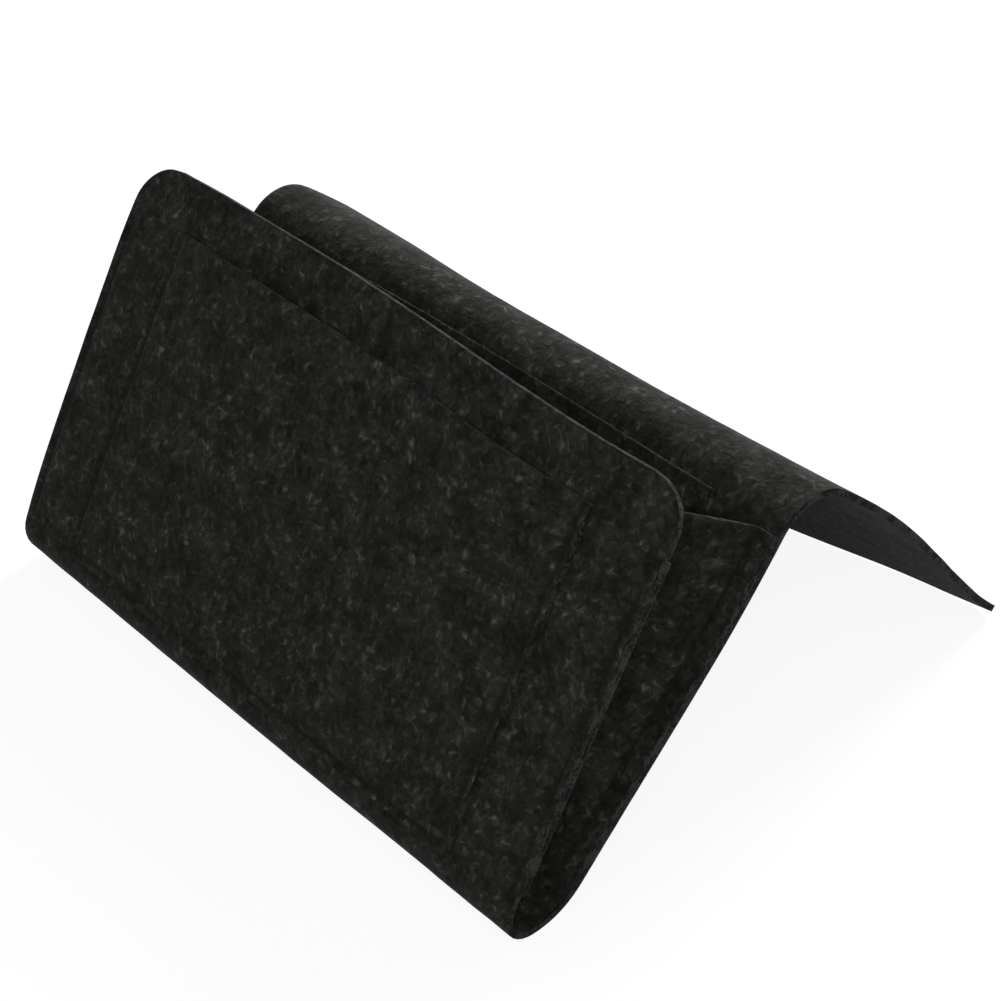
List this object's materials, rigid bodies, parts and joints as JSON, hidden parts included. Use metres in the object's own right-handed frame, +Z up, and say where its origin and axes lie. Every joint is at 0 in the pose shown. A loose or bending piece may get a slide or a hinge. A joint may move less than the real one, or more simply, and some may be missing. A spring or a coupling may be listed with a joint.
{
  "type": "bedside caddy",
  "caption": "Felt bedside caddy: a flap for under the mattress, a wide pouch with bellows sides, and sewn-on front and inner pockets.",
  "frame": {"origin": "on the surface that the caddy stands on, under the middle of its outer box", "axes": "+X along the caddy, from its left end to its right end as seen from the front; +Y from the front pocket to the flap; +Z up"},
  "size_m": [0.32, 0.288, 0.17],
  "materials": {
    "sheet_felt": "needled felt, charcoal heather",
    "pocket_felt": "needled felt, charcoal heather",
    "gusset_felt": "needled felt, charcoal heather",
    "thread": "spun sewing thread, near black"
  },
  "bodies": {
    "back": {"back_panel": "sheet_felt", "bottom_fold": "sheet_felt", "inner_pocket": "pocket_felt", "crest_fold": "sheet_felt", "side_gusset_left": "gusset_felt", "side_gusset_right": "gusset_felt"},
    "front": {"front_panel": "sheet_felt", "front_pocket": "pocket_felt"},
    "flap": {"mattress_flap": "sheet_felt"}
  },
  "joints": [
    {"name": "pocket_open", "type": "hinge", "parent": "back", "child": "front", "pos_m": [0, -0.12948, 0.014], "axis": [1, 0, 0], "range_deg": [-14, 6], "deforming": ["bottom_fold", "side_gusset_left", "side_gusset_right"]},
    {"name": "flap_fold", "type": "hinge", "parent": "back", "child": "flap", "pos_m": [0, 0.01442, 0.13453], "axis": [1, 0, 0], "range_deg": [-83, 95], "deforming": ["crest_fold"]}
  ]
}
